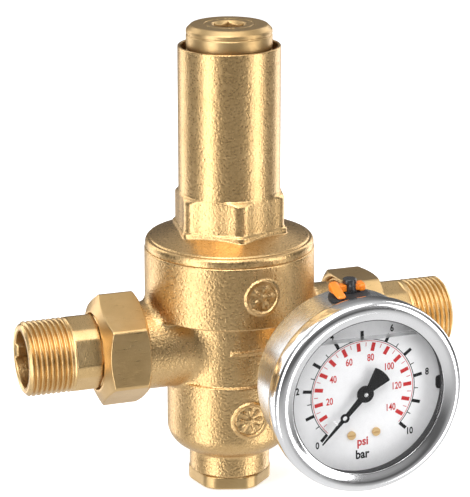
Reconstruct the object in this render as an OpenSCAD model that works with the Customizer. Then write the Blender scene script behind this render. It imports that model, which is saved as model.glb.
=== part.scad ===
// Diaphragm-operated pressure reducing valve for 3/4" pipe, with union ends and a pressure gauge.
// Origin: centre of the inlet end face. +X runs with the flow, +Z runs up the spindle.
// Parts on the spindle are drawn about it, with z = 0 on the flow axis, and at_spindle() places them.

/* [Overall] */
// Inlet end face to outlet end face
face_to_face = 160; // [158:1:164]
// Distance that the spindle stands nearer the inlet than the middle of the valve
spindle_offset = 3; // [2:0.5:4]
// Height of the adjusting screw's top above the flow axis
top_z = 114; // [112:0.5:116]
// Depth of the bottom plug's underside below the flow axis
bottom_z = -54.35; // [-56:0.05:-54]

/* [Body] */
// Radius of the diaphragm housing at the top of the body
housing_r = 30.3; // [30:0.1:31]
// Height of the joint between body and bonnet
housing_top = 34.35; // [34:0.05:35]
// Height of the housing's lower edge
housing_bottom = 11.6; // [11:0.1:12]
// Radius of the neck between housing and bowl
neck_r = 21.7; // [21.5:0.1:22.2]
// Radius of the bowl below the neck
bowl_r = 22.6; // [22.4:0.1:23]
// Height of the bowl's upper edge
bowl_top = -12.4; // [-13:0.1:-12]
// Radius of the spigot that takes the bottom plug
spigot_r = 14.5; // [14.4:0.1:15]
// Radius of the two side arms
arm_r = 15.4; // [15:0.1:15.8]
// Radius of the water way
duct_r = 10; // [9.5:0.1:10.2]

/* [Bonnet] */
// Radius of the spring tube
bonnet_r = 18; // [18:0.1:18.4]
// Height of the spring tube's rim
bonnet_top = 106.6; // [106:0.1:107]
// Width across flats of the bonnet's hexagon
bonnet_af = 36; // [35.8:0.1:37]
// Turn of the hexagon's front corner towards the inlet, in degrees
bonnet_turn = 7; // [0:0.5:30]

/* [Unions] */
// Width across flats of the union nuts
nut_af = 35.6; // [35.4:0.1:36.4]
// Outside diameter of the tailpiece's 3/4" male thread
thread_d = 26.44; // [26.4:0.01:26.5]
// Length of the tailpiece's thread
thread_length = 17; // [15:0.5:18]
// Width across the wrench flats of the tailpiece
tail_af = 24.75; // [24.5:0.05:25.5]
// Turn of the inlet nut's corner away from upright, in degrees
inlet_nut_turn = 4.6; // [0:0.1:60]
// Turn of the outlet nut's corner away from upright, in degrees
outlet_nut_turn = 27; // [0:0.1:60]

/* [Adjustment] */
// Diameter of the adjusting screw
screw_d = 30.1; // [30:0.1:30.1]
// Width across flats of the hexagon socket
socket_af = 10; // [8:0.5:10]
// Wire diameter of the main spring
wire_d = 3.8; // [3.4:0.1:4]
// Number of the main spring's working coils
spring_coils = 7; // [6:1:8]

/* [Gauge] */
// Distance of the gauge's axis from the spindle
gauge_x = 24.8; // [24.5:0.1:25]
// Height of the gauge's axis above the flow axis
gauge_z = -1.6; // [-2:0.1:-1.2]
// Turn of the gauge on its thread, in degrees
gauge_roll = 1.9; // [0:0.1:3]
// Radius of the gauge's case
case_r = 31; // [31:0.1:31]
// Radius of the gauge's bezel ring
bezel_r = 34; // [34:0.1:34.4]
// Radius of the visible window
window_r = 27.35; // [27:0.05:27.6]

/* [Hidden] */
$fn = 96;

brass_cast = [0.78, 0.64, 0.42];
brass_turned = [0.85, 0.72, 0.48];
steel = [0.75, 0.76, 0.78];
rubber = [0.08, 0.08, 0.09];

cut = 0.5;              // overrun of a cutting tool past the face that it cuts
gap = 0.05;             // radial clearance of a running fit or a thread
half_face = face_to_face / 2;
inlet_reach = half_face - spindle_offset;

// Inside the body
web_half = 2;           // half the height of the web that carries the seat
ceiling_z = 9.5;        // top of the outlet chamber
floor_z = 14;           // bottom of the diaphragm chamber
ledge_z = 20;           // ledge under the diaphragm's rim
chamber_r = 20.5;
slip_ring_r = 21.7;
clamp_r = 26.5;         // radius of the bonnet's thread
outlet_chamber_r = 13;
inlet_chamber_r = 18.5;
inlet_chamber_floor = -36;
plug_thread_r = 12.4;
plug_seam_z = -49.6;
bowl_round_r = 8;
bowl_round_z = -33;
port_x = gauge_x;
port_face = 27;         // distance of the gauge port's face from the flow axis
port_r = 9.5;
port_thread_r = 6.55;
port_thread_end = 15.5;
badge_r = 6.6;
badge_bead = 1.4;       // width of a badge's raised rim
badge_h = 0.7;
upper_badge_z = 23.5;
upper_badge_turn = 3;
lower_badge_z = -24.5;

// Union ends, measured outwards from the middle of the valve
spigot_end = 45;
seal_t = 2;
collar_end = 49.7;
nut_inner = 37.8;
nut_outer = 54;
nut_floor = 50;
union_r = 16.6;
collar_r = 16;
nut_hole_r = 13.6;
flats_start = 53.5;
thread_r = thread_d / 2;
nut_corner_r = nut_af / 2 / cos(30);
nut_inner_face_r = 18.3;  // radius at which each bevel of the nut meets its end face
nut_outer_face_r = 14.2;
nut_outer_bevel = 24.5;
lug = [3.8, 4.4, 1.8];  // wrench lug inside the tailpiece: along, across, inwards
lug_depth = 0.5;        // distance of the lug from the end face
tail_turn = 17.5;       // turn of the tailpiece's flats
thread_chamfer = [0.4, 0.9];  // lead of the thread: along, inwards

// Spindle stack
rod_r = 4;
rod_top_r = 3;
rod_tail_r = 2.5;
seal_top = -6.5;        // valve seal's face with the valve fully open
seat_lip_z = -3.5;
seat_bore_r = 8.5;
seat_r = 11;
piston_r = 8.6;
piston_bottom = -34;
piston_hollow_r = 6;
guide_top = -20;
guide_r = 10.9;
plate_bottom = 17.2;
diaphragm_t = 2;
upper_plate_t = 2.2;
spring_foot = ledge_z + diaphragm_t + upper_plate_t;
spring_r = 11.6;        // mean radius of the spring
seat_boss_r = 9.3;
spring_head = 83;
screw_foot = spring_head + 3;
screw_r = screw_d / 2;
screw_chamfer = 2;
socket_depth = 8;
counterbore_r = 16.9;
counterbore_z = 98;
tube_bore_r = screw_r + gap;
hex_bottom = 40.5;
hex_top = 54.6;
hex_lip = 1.2;          // how far the lip under the bonnet's hexagon stands out
flange_edge_z = 37.3;
flange_r = 30;

// Gauge, measured forwards from the flow axis
socket_start = 16;
socket_square_start = 31;
socket_square_af = 14;
case_back = 45.8;
case_t = 1.2;
case_front = 66.5;
bezel_back = 62.8;
bezel_front = 72.6;
window_back = 69.5;
window_front = 70.95;
dial_front = 65.6;
dial_t = 0.7;
dial_r = 29;
tube_w = [50, 57];      // back and front of the Bourdon tube
tube_r = 20;
tube_t = 2;
tube_wall = 0.5;
tube_start_deg = 262;
tube_end_deg = -18;
back_plate_w = [58.2, 59];
front_plate_w = [61.9, 62.6];
gear_w = [60, 60.8];
pinion_w = [59.6, 61.2];
link_w = [60.9, 61.4];
gear_module = 0.4;
pinion_teeth = 12;
sector_full_teeth = 72;
sector_teeth = 14;
gear_play = 0.05;
pivot_drop = gear_module * (pinion_teeth + sector_full_teeth) / 2 + gear_play;
shaft_r = 0.75;
tail_length = 6;
tail_rest_deg = -69.2;
tail_pin = [tail_length * cos(tail_rest_deg), tail_length * sin(tail_rest_deg) - pivot_drop];
tip_pin = [15.33, -10.57];
pin_r = 0.5;
pillar_spots = [[-7, 3.5], [7, 3.5], [-6.5, -19.5]];
dial_screw_spots = [[-4.5, -15], [4.5, -15]];
pointer_rest_deg = 225;
stop_pin_turn = 4.4;    // how far the stop pin lies past the resting pointer
vent_w = 55;
vent_pad_r = 7.4;
vent_pad_t = 1.5;
vent_post_r = 2.6;
vent_post_top = 37.4;
lever_z = [33.2, 35.6];  // underside and top of the lever's bar
lever_half = 1.6;
lever_ends = [-7.6, 5.2];
paddle = [4.4, 7.5];     // width and reach of the lever's paddle
tab = [2.3, 2.2];

// ---- placing ----

module at_spindle() {
    translate([inlet_reach, 0, 0]) children();
}

// Turns a shape drawn along +Z so that it points outwards along the inlet's or the outlet's arm.
module at_end(side) {
    translate([half_face, 0, 0])
        rotate([0, side * 90, 0])
            children();
}

// Puts a shape drawn with +Z towards the reader of the gauge onto the gauge's axis.
module at_gauge() {
    at_spindle()
        translate([gauge_x, 0, gauge_z])
            rotate([90, 0, 0])
                rotate([0, 0, gauge_roll])
                    children();
}

// ---- shapes that repeat ----

module ring(r_in, r_out, z0, z1) {
    translate([0, 0, z0])
        difference() {
            cylinder(r = r_out, h = z1 - z0);
            translate([0, 0, -cut]) cylinder(r = r_in, h = z1 - z0 + 2 * cut);
        }
}

module rod(r, z0, z1) {
    translate([0, 0, z0]) cylinder(r = r, h = z1 - z0);
}

module torus(mean_r, section_r, z) {
    translate([0, 0, z])
        rotate_extrude() translate([mean_r, 0]) circle(r = section_r, $fn = 32);
}

// Hexagonal prism whose two ends are bevelled down to the radii face_r, at the angles bevel from the end.
module bevelled_hex(af, face_r, bevel, z0, z1) {
    corner_r = af / 2 / cos(30);
    rise = [for (k = [0, 1]) (corner_r - face_r[k]) * tan(bevel[k])];
    intersection() {
        translate([0, 0, z0]) cylinder(r = corner_r, h = z1 - z0, $fn = 6);
        rotate_extrude()
            polygon([[0, z0], [face_r[0], z0], [corner_r, z0 + rise[0]], [corner_r, z1 - rise[1]],
                     [face_r[1], z1], [0, z1]]);
    }
}

function involute_deg(r, base_r) =
    r <= base_r ? 0 : tan(acos(base_r / r)) * 180 / PI - acos(base_r / r);

// Half the angle that a tooth fills at radius r.
function tooth_half_deg(r, teeth) =
    let (pitch_r = gear_module * teeth / 2, base_r = pitch_r * cos(20))
    90 / teeth * 0.86 + involute_deg(pitch_r, base_r) - involute_deg(r, base_r);

module tooth(teeth, addendum, dedendum, angle) {
    pitch_r = gear_module * teeth / 2;
    radii = [for (k = [0:4]) pitch_r - dedendum + (addendum + dedendum) * k / 4];
    right = [for (r = radii) let (a = angle - tooth_half_deg(r, teeth)) [r * cos(a), r * sin(a)]];
    left = [for (k = [4:-1:0])
        let (r = radii[k], a = angle + tooth_half_deg(r, teeth)) [r * cos(a), r * sin(a)]];
    polygon(concat([[0, 0]], right, left));
}

// ---- body and spindle stack ----

module arm(side) {
    at_end(side) {
        rod(arm_r, 0, nut_inner + 1);
        rod(union_r, nut_inner + 1, spigot_end);
    }
}

module badge(z, r_from, turn) {
    at_spindle()
        rotate([0, 0, turn])
            translate([0, -r_from - badge_h, z])
                rotate([-90, 0, 0])
                    ring(badge_r - badge_bead, badge_r, 0, badge_h + 1.5);
}

module body_outside() {
    at_spindle() {
        rod(housing_r, housing_bottom, housing_top);
        rod(neck_r, bowl_top, housing_bottom);
        rod(bowl_r, bowl_round_z, bowl_top);
        rod(bowl_r - bowl_round_r, plug_seam_z + cut, bowl_round_z);
        torus_r = bowl_r - bowl_round_r;
        translate([0, 0, bowl_round_z])
            rotate_extrude()
                translate([torus_r, 0])
                    intersection() {
                        circle(r = bowl_round_r);
                        translate([0, -bowl_round_r]) square([bowl_round_r, bowl_round_r]);
                    }
        rod(spigot_r, plug_seam_z, bowl_round_z);
    }
    arm(-1);
    arm(1);
    at_spindle()
        translate([port_x, 0, gauge_z])
            rotate([90, 0, 0])
                rod(port_r, 0, port_face);
    badge(upper_badge_z, housing_r, upper_badge_turn);
    badge(lower_badge_z, bowl_r, 0);
}

module body_inside() {
    at_spindle() {
        rod(clamp_r + gap, ledge_z, housing_top + cut);
        rod(chamber_r, floor_z, ledge_z + cut);
        rod(rod_r + gap, ceiling_z - cut, floor_z + cut);
        ring(rod_r, rod_r + 2, 10.8, 12.8);
        rod(outlet_chamber_r, web_half, ceiling_z);
        rod(seat_r + gap, -web_half - cut, web_half + cut);
        rod(inlet_chamber_r, inlet_chamber_floor, -web_half);
        rod(plug_thread_r + gap, plug_seam_z - cut, inlet_chamber_floor + cut);
        translate([0, -9, web_half]) cube([24, 18, ceiling_z - web_half]);
        translate([rod_r + 5, 0, ceiling_z - cut]) cylinder(r = 1.5, h = floor_z - ceiling_z + 2 * cut);
        translate([-16, 0, 0]) rotate([0, -90, 0]) cylinder(r = duct_r, h = spigot_end);
        translate([22, 0, 0]) rotate([0, 90, 0]) cylinder(r = duct_r, h = spigot_end);
        translate([port_x, 0, gauge_z])
            rotate([90, 0, 0]) {
                rod(port_thread_r + gap, port_thread_end, port_face + cut);
                rod(2.5, 0, port_face);
            }
    }
}

module body() {
    color(brass_cast)
        difference() {
            body_outside();
            body_inside();
        }
}

module bonnet() {
    color(brass_cast)
        at_spindle()
            difference() {
                union() {
                    rod(clamp_r, ledge_z + diaphragm_t + 1 + gap, housing_top + cut);
                    rotate_extrude()
                        polygon([[0, housing_top], [flange_r, housing_top], [flange_r, flange_edge_z],
                                 [bonnet_af / 2 + 3.4, hex_bottom + 0.4], [0, hex_bottom + 0.4]]);
                    rotate([0, 0, -90 - bonnet_turn]) {
                        bevelled_hex(bonnet_af, [bonnet_af / 2 + 1.6, bonnet_r + 0.5], [30, 45],
                                     hex_bottom, hex_top);
                        bevelled_hex(bonnet_af + 2 * hex_lip, [bonnet_af / 2 + 1.6, bonnet_af / 2 + hex_lip],
                                     [30, 45], hex_bottom, hex_bottom + 2);
                    }
                    rod(bonnet_r, hex_bottom, bonnet_top);
                }
                rod(chamber_r + 0.7, 0, housing_top);
                rotate_extrude()
                    polygon([[0, housing_top - cut], [chamber_r + 0.7, housing_top - cut],
                             [chamber_r + 0.7, housing_top], [tube_bore_r, hex_bottom + 3],
                             [0, hex_bottom + 3]]);
                rod(tube_bore_r, hex_bottom, counterbore_z + cut);
                rod(counterbore_r, counterbore_z, bonnet_top + cut);
            }
}

module adjusting_screw() {
    color(brass_turned)
        at_spindle()
            difference() {
                rotate_extrude()
                    polygon([[0, screw_foot + gap], [screw_r, screw_foot + gap],
                             [screw_r, top_z - screw_chamfer], [screw_r - screw_chamfer, top_z], [0, top_z]]);
                translate([0, 0, top_z - socket_depth])
                    cylinder(r = socket_af / 2 / cos(30), h = socket_depth + cut, $fn = 6);
                translate([0, 0, top_z - 1.1]) cylinder(r1 = 5.4, r2 = 7.1, h = 1.6);
                rod(screw_r - 3, screw_foot - cut, screw_foot + 13);
            }
}

module upper_spring_seat() {
    color(steel)
        at_spindle() {
            rod(14.2, spring_head + gap, screw_foot);
            rod(seat_boss_r, spring_head - 3, spring_head + cut);
        }
}

function coil_height(turns, pitch) =
    let (closed = wire_d + 0.1)
    turns < 1 ? closed * turns
    : turns < 1 + spring_coils ? closed + pitch * (turns - 1)
    : closed + pitch * spring_coils + closed * (turns - 1 - spring_coils);

module spring() {
    sides = 8;
    steps = 24;
    turns = spring_coils + 2;
    count = turns * steps;
    rise = spring_head - spring_foot - wire_d - 2 * gap;
    pitch = (rise - 2 * (wire_d + 0.1)) / spring_coils;
    points = [for (i = [0:count]) for (k = [0:sides - 1])
        let (a = 360 * i / steps, b = 360 * k / sides, r = spring_r + wire_d / 2 * cos(b))
        [r * cos(a), r * sin(a),
         spring_foot + gap + wire_d / 2 * (1 + sin(b)) + coil_height(i / steps, pitch)]];
    quads = [for (i = [0:count - 1]) for (k = [0:sides - 1])
        [i * sides + k, i * sides + (k + 1) % sides,
         (i + 1) * sides + (k + 1) % sides, (i + 1) * sides + k]];
    first = [[for (k = [sides - 1:-1:0]) k]];
    last = [[for (k = [0:sides - 1]) count * sides + k]];
    color(steel)
        at_spindle()
            polyhedron(points = points, faces = concat(quads, first, last));
}

module diaphragm_upper_plate() {
    color(steel)
        at_spindle()
            difference() {
                union() {
                    rod(15.8, ledge_z + diaphragm_t, spring_foot);
                    rod(seat_boss_r, spring_foot - cut, spring_foot + 1.8);
                }
                rod(rod_top_r + gap, ledge_z, spring_foot + 3);
            }
}

module slip_ring() {
    color(brass_turned)
        at_spindle()
            ring(slip_ring_r, clamp_r - 0.1, ledge_z + diaphragm_t, ledge_z + diaphragm_t + 1);
}

module diaphragm() {
    roll_r = 18.75;
    color(rubber)
        at_spindle() {
            ring(rod_top_r + gap, 16.6, ledge_z, ledge_z + diaphragm_t);
            ring(20.9, clamp_r - 0.1, ledge_z, ledge_z + diaphragm_t);
            translate([0, 0, ledge_z + 1])
                rotate_extrude()
                    translate([roll_r, 0])
                        difference() {
                            circle(r = 2.75);
                            circle(r = 1.55);
                            translate([-4, -4.4]) square([8, 4]);
                        }
        }
}

module diaphragm_lower_plate() {
    color(brass_turned)
        at_spindle()
            ring(rod_top_r + gap, 16, plate_bottom, ledge_z);
}

module stem() {
    color(steel)
        at_spindle() {
            rod(rod_tail_r, -18.5, seal_top + cut);
            rod(rod_r, seal_top, plate_bottom);
            rod(rod_top_r, plate_bottom - cut, spring_foot + 7);
        }
}

module stem_nut() {
    color(steel)
        at_spindle()
            difference() {
                translate([0, 0, spring_foot + 1.8]) cylinder(r = 5.77, h = 4.8, $fn = 6);
                rod(rod_top_r + gap, spring_foot, spring_foot + 8);
            }
}

module stem_o_ring() {
    color(rubber) at_spindle() torus(rod_r + 1, 0.93, 11.8);
}

module seat_ring() {
    color(steel)
        at_spindle()
            difference() {
                union() {
                    rod(seat_r, -web_half - 0.4, web_half);
                    rod(seat_r + 1.6, web_half, web_half + 1.5);
                    rod(seat_bore_r + 0.9, seat_lip_z, -web_half);
                }
                rod(seat_bore_r, -8, 8);
                ring(seat_r - 1.5, seat_r + 1, -0.85, 0.85);
            }
}

module seat_o_ring() {
    color(rubber) at_spindle() torus(seat_r - 0.76, 0.7, 0);
}

module obturator() {
    color(brass_turned)
        at_spindle()
            difference() {
                union() {
                    rod(10.5, seal_top - 4, seal_top - 1.5);
                    rod(6.6, seal_top - 2, seal_top);
                    rod(piston_r, piston_bottom, seal_top - 3);
                }
                rod(rod_tail_r + gap, -20, seal_top + cut);
                ring(6.6, 10, seal_top - 2.8, seal_top + cut);
                rod(piston_hollow_r, piston_bottom - cut, -14);
                ring(piston_r - 1.4, piston_r + 1, -26, -24.2);
            }
}

module obturator_seal() {
    color(rubber) at_spindle() ring(6.65, 9.95, seal_top - 2.8, seal_top);
}

module obturator_nut() {
    color(steel)
        at_spindle()
            difference() {
                translate([0, 0, -18]) cylinder(r = 4.6, h = 4, $fn = 6);
                rod(rod_tail_r + gap, -19, -13);
            }
}

module piston_o_ring() {
    color(rubber) at_spindle() torus(piston_r - 0.69, 0.68, -25.1);
}

module strainer() {
    rows = 4;
    color(steel)
        at_spindle()
            difference() {
                ring(11.7, 12.2, -37.9, -web_half - 0.1);
                for (row = [0:rows - 1]) for (k = [0:11])
                    rotate([0, 0, 30 * k + 15 * (row % 2)])
                        translate([10, -2, -33 + 7.4 * row]) cube([4, 4, 5.4]);
            }
}

module bottom_plug() {
    color(brass_turned)
        at_spindle()
            difference() {
                union() {
                    intersection() {
                        translate([0, 0, bottom_z])
                            rotate([0, 0, 42])
                                cylinder(r = 16, h = plug_seam_z - bottom_z, $fn = 6);
                        rod(14.9, bottom_z, plug_seam_z);
                    }
                    rod(plug_thread_r, plug_seam_z - cut, -38);
                    rod(guide_r, -38 - cut, guide_top);
                }
                rod(piston_r + gap, -46.5, guide_top + cut);
                ring(plug_thread_r - 1.4, plug_thread_r + 1, -40.3, -38.7);
            }
}

module bottom_plug_o_ring() {
    color(rubber) at_spindle() torus(plug_thread_r - 0.68, 0.67, -39.5);
}

// ---- union ends ----

module union_gasket(side) {
    color(rubber) at_end(side) ring(duct_r + 0.5, collar_r - 0.2, spigot_end, spigot_end + seal_t);
}

module union_nut(side) {
    color(brass_turned)
        at_end(side)
            difference() {
                rotate([0, 0, side < 0 ? inlet_nut_turn : outlet_nut_turn])
                    bevelled_hex(nut_af, [nut_inner_face_r, nut_outer_face_r], [30, nut_outer_bevel],
                                 nut_inner, nut_outer);
                rod(union_r + gap, nut_inner - cut, nut_floor);
                rod(nut_hole_r, nut_floor - cut, nut_outer + cut);
            }
}

module tailpiece(side) {
    color(brass_turned)
        at_end(side) {
            difference() {
                union() {
                    rod(collar_r, spigot_end + seal_t, collar_end);
                    rod(thread_r - 0.3, collar_end - cut, flats_start);
                    intersection() {
                        rod(thread_r - 0.2, flats_start, half_face - thread_length);
                        translate([0, 0, flats_start])
                            rotate([0, 0, -side * tail_turn])
                                cylinder(r = tail_af / 2 / cos(30), h = thread_length, $fn = 6);
                    }
                    rotate_extrude()
                        polygon([[0, half_face - thread_length], [thread_r, half_face - thread_length],
                                 [thread_r, half_face - thread_chamfer.x],
                                 [thread_r - thread_chamfer.y, half_face], [0, half_face]]);
                }
                rod(duct_r, spigot_end, half_face + cut);
            }
            for (k = [-1, 1])
                translate([-lug.y / 2, k > 0 ? duct_r - lug.z : -duct_r - cut, half_face - lug_depth - lug.x])
                    cube([lug.y, lug.z + cut, lug.x]);
        }
}

module inlet_gasket() {
    union_gasket(-1);
}

module inlet_nut() {
    union_nut(-1);
}

module inlet_tailpiece() {
    tailpiece(-1);
}

module outlet_gasket() {
    union_gasket(1);
}

module outlet_nut() {
    union_nut(1);
}

module outlet_tailpiece() {
    tailpiece(1);
}

// ---- gauge ----

module gauge_socket() {
    color(brass_turned)
        at_gauge()
            difference() {
                union() {
                    rod(port_thread_r, socket_start, port_face + 1);
                    rod(7.4, port_face + 0.2, socket_square_start);
                    intersection() {
                        translate([-socket_square_af / 2, -socket_square_af / 2, socket_square_start])
                            cube([socket_square_af, socket_square_af, 13]);
                        rod(9.2, socket_square_start, 45);
                    }
                    rod(8, 43.8, case_back - 0.05);
                    rod(6, 45, 48);
                    translate([-5, -24.5, case_back + case_t + 0.1]) cube([10, 30.5, 2.6]);
                    translate([-5, -6, 48]) cube([10, 12, back_plate_w[0] - 48 - 0.05]);
                    translate([-5, -24.5, 48]) cube([6, 8, 9.5]);
                }
                rod(1.5, socket_start - cut, 47);
                translate([0, 0, 48.2]) rotate([90, 0, 0]) cylinder(r = 1, h = 20.5);
                rod(1, 46, 48.3);
                bourdon_space();
            }
}

module bourdon_profile(grow) {
    half = (tube_w[1] - tube_w[0]) / 2 - tube_t / 2;
    for (s = [-1, 1])
        translate([0, s * half]) circle(r = tube_t / 2 + grow, $fn = 24);
    translate([-tube_t / 2 - grow, -half]) square([tube_t + 2 * grow, 2 * half]);
}

module bourdon_arc(grow, from_deg, to_deg) {
    translate([0, 0, (tube_w[0] + tube_w[1]) / 2])
        rotate([0, 0, from_deg])
            rotate_extrude(angle = to_deg - from_deg)
                translate([tube_r, 0]) bourdon_profile(grow);
}

module bourdon_space() {
    bourdon_arc(gap, tube_start_deg - 30, tube_start_deg + 4);
}

module bourdon_tube() {
    color(brass_turned)
        at_gauge()
            difference() {
                bourdon_arc(0, tube_end_deg, tube_start_deg);
                bourdon_arc(-tube_wall, tube_end_deg - 5, tube_start_deg + 5);
            }
}

module tube_tip() {
    color(brass_turned)
        at_gauge()
            difference() {
                union() {
                    rotate([0, 0, tube_end_deg - 9])
                        translate([tube_r - 2.2, -1, tube_w[0] - 0.8]) cube([4.4, 5, tube_w[1] - tube_w[0] + 1.6]);
                    translate([tip_pin.x, tip_pin.y, 55]) cylinder(r = 1.4, h = link_w[0] - 0.1 - 55);
                    translate([tip_pin.x, tip_pin.y, 55]) cylinder(r = pin_r, h = link_w[1] + 0.2 - 55);
                    translate([tip_pin.x, tip_pin.y - 0.6, 55]) cube([4, 2.4, 2.5]);
                }
                bourdon_arc(gap, tube_end_deg - 1.5, tube_end_deg + 30);
            }
}

module link() {
    span = tip_pin - tail_pin;
    reach = norm(span);
    color(steel)
        at_gauge()
            translate([tail_pin.x, tail_pin.y, link_w[0]])
                rotate([0, 0, atan2(span.y, span.x)])
                    linear_extrude(link_w[1] - link_w[0])
                        difference() {
                            union() {
                                circle(r = 1.3);
                                translate([reach, 0]) circle(r = 1.8);
                                translate([0, -0.7]) square([reach, 1.4]);
                            }
                            circle(r = pin_r + gap);
                            translate([reach, 0]) circle(r = pin_r + 0.6);
                        }
}

module sector_gear() {
    step = 360 / sector_full_teeth;
    pitch_r = gear_module * sector_full_teeth / 2;
    root_r = pitch_r - 1.25 * gear_module;
    first_deg = 90 + 1.5 * step;
    last_deg = first_deg - (sector_teeth - 1) * step;
    span_deg = first_deg - last_deg + step;
    color(brass_turned)
        at_gauge()
            translate([0, -pivot_drop, 0]) {
                translate([0, 0, gear_w[0]])
                    linear_extrude(gear_w[1] - gear_w[0]) {
                        for (k = [0:sector_teeth - 1])
                            intersection() {
                                tooth(sector_full_teeth, 0.75 * gear_module, 1.3 * gear_module, first_deg - k * step);
                                difference() {
                                    circle(r = pitch_r + gear_module);
                                    circle(r = root_r - 0.8);
                                }
                            }
                        rotate(last_deg - step / 2) sector_web(root_r, span_deg);
                        circle(r = 2.2);
                        rotate(tail_rest_deg) translate([0, -1]) square([tail_length, 2]);
                        translate(tail_pin + [0, pivot_drop]) circle(r = 1.2);
                    }
                rod(shaft_r, back_plate_w[0] + 0.1, front_plate_w[1] - 0.1);
                translate([tail_pin.x, tail_pin.y + pivot_drop, gear_w[0]])
                    cylinder(r = pin_r, h = link_w[1] + 0.2 - gear_w[0]);
            }
}

// Rim and two spokes of the toothed sector, from angle 0 to span_deg.
module sector_web(root_r, span_deg) {
    arc = [for (k = [0:12]) let (a = span_deg * k / 12) root_r * [cos(a), sin(a)]];
    inner = [for (k = [12:-1:0]) let (a = span_deg * k / 12) (root_r - 2) * [cos(a), sin(a)]];
    polygon(concat(arc, inner));
    for (a = [6, span_deg - 6])
        rotate(a) translate([0, -0.9]) square([root_r - 0.5, 1.8]);
}

module pinion_shaft() {
    pitch_r = gear_module * pinion_teeth / 2;
    color(steel)
        at_gauge() {
            rod(shaft_r, back_plate_w[0] + 0.1, 68.6);
            translate([0, 0, pinion_w[0]])
                linear_extrude(pinion_w[1] - pinion_w[0]) {
                    circle(r = pitch_r - 1.2 * gear_module);
                    for (k = [0:pinion_teeth - 1])
                        tooth(pinion_teeth, 0.9 * gear_module, 1.25 * gear_module, 360 * k / pinion_teeth - 90);
                }
        }
}

module movement_plate(w) {
    translate([0, 0, w[0]])
        difference() {
            translate([-9, -22.5, 0]) cube([18, 29, w[1] - w[0]]);
            for (v = [0, -pivot_drop])
                translate([0, v, -cut]) cylinder(r = shaft_r + gap, h = 4);
            for (s = pillar_spots)
                translate([s.x, s.y, -cut]) cylinder(r = 0.8 + gap, h = 4);
        }
}

module back_plate() {
    color(brass_turned) at_gauge() movement_plate(back_plate_w);
}

module front_plate() {
    color(brass_turned)
        at_gauge() {
            movement_plate(front_plate_w);
            for (s = dial_screw_spots)
                translate([s.x, s.y, 0]) ring(0.75, 1.5, front_plate_w[1] - 0.2, dial_front - dial_t - 0.05);
        }
}

module plate_pillars() {
    color(brass_turned)
        at_gauge()
            for (s = pillar_spots)
                translate([s.x, s.y, 0]) {
                    rod(0.8, back_plate_w[0], front_plate_w[1] + 0.5);
                    rod(1.3, back_plate_w[1], front_plate_w[0]);
                }
}

module hairspring() {
    turns = 4;
    steps = 24;
    wire = 0.15;
    spiral = [for (i = [0:turns * steps]) let (a = 360 * i / steps, r = 1.1 + 0.9 * i / steps)
        [a, r]];
    inner = [for (s = spiral) s[1] * [cos(s[0]), sin(s[0])]];
    outer = [for (i = [turns * steps:-1:0]) let (s = spiral[i]) (s[1] + wire) * [cos(s[0]), sin(s[0])]];
    color(brass_turned)
        at_gauge()
            translate([0, 0, 61.3])
                linear_extrude(0.35) polygon(concat(inner, outer));
}

module gauge_case() {
    color(steel)
        at_gauge()
            difference() {
                rod(case_r, case_back, case_front);
                rod(case_r - case_t, case_back + case_t, case_front + cut);
                rod(6 + gap, case_back - cut, case_back + 2);
                translate([0, case_r - 4, vent_w]) rotate([-90, 0, 0]) cylinder(r = 4 + gap, h = 6);
            }
}

module bezel_ring() {
    color([0.88, 0.89, 0.9])
        at_gauge()
            rotate_extrude()
                polygon([[case_r + 0.1, bezel_back], [32.6, bezel_back], [33.5, bezel_back + 0.9],
                         [bezel_r, bezel_back + 3], [bezel_r, 70.2], [33.7, 71.2], [33.1, 71.9],
                         [32.2, 72.4], [31.2, bezel_front], [30.2, 72.5], [29.1, 72.1],
                         [window_r, 71.3], [window_r, 71], [case_r + 0.1, 71]]);
}

module window() {
    color([0.8, 0.9, 0.95, 0.35]) at_gauge() rod(case_r - 0.2, window_back, window_front);
}

module window_seal() {
    color(rubber) at_gauge() ring(28, case_r, case_front + 0.05, window_back - 0.05);
}

module dial() {
    color("white")
        at_gauge() {
            difference() {
                rod(dial_r, dial_front - dial_t, dial_front);
                rod(1.2, 60, 70);
                for (s = dial_screw_spots)
                    translate([s.x, s.y, 60]) cylinder(r = 0.75, h = 10);
            }
            rotate([0, 0, pointer_rest_deg - stop_pin_turn])
                translate([14, 0, 0]) rod(0.35, dial_front - cut, 68.2);
        }
}

module dial_screws() {
    color(brass_turned)
        at_gauge()
            for (s = dial_screw_spots)
                translate([s.x, s.y, 0])
                    difference() {
                        union() {
                            rod(0.7, front_plate_w[1] + 0.2, dial_front + 0.2);
                            rod(1.5, dial_front, dial_front + 0.6);
                        }
                        translate([-2, -0.2, dial_front + 0.35]) cube([4, 0.4, 1]);
                    }
}

module pointer() {
    color([0.05, 0.05, 0.06])
        at_gauge()
            rotate([0, 0, pointer_rest_deg]) {
                translate([0, 0, 67.6])
                    linear_extrude(0.5)
                        difference() {
                            union() {
                                polygon([[0, -1.3], [10.7, -0.8], [22.5, -0.12], [22.5, 0.12], [10.7, 0.8], [0, 1.3],
                                         [-9, 2.8], [-9, -2.8]]);
                                circle(r = 2.9);
                                translate([10.7, 0]) circle(r = 1.65);
                            }
                            circle(r = shaft_r + 0.01);
                            translate([10.7, 0]) circle(r = 0.95);
                        }
                ring(shaft_r + 0.01, 1.6, 67.2, 68.9);
            }
}

module vent_grommet() {
    color(rubber)
        at_gauge()
            difference() {
                union() {
                    intersection() {
                        translate([0, 20, vent_w]) rotate([-90, 0, 0]) cylinder(r = vent_pad_r, h = 20);
                        ring(case_r + gap, case_r + vent_pad_t, 40, 70);
                    }
                    translate([0, case_r - 2.5, vent_w]) rotate([-90, 0, 0]) cylinder(r = 4, h = 3.2);
                }
                translate([0, 20, vent_w]) rotate([-90, 0, 0]) cylinder(r = vent_post_r + gap, h = 20);
            }
}

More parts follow.
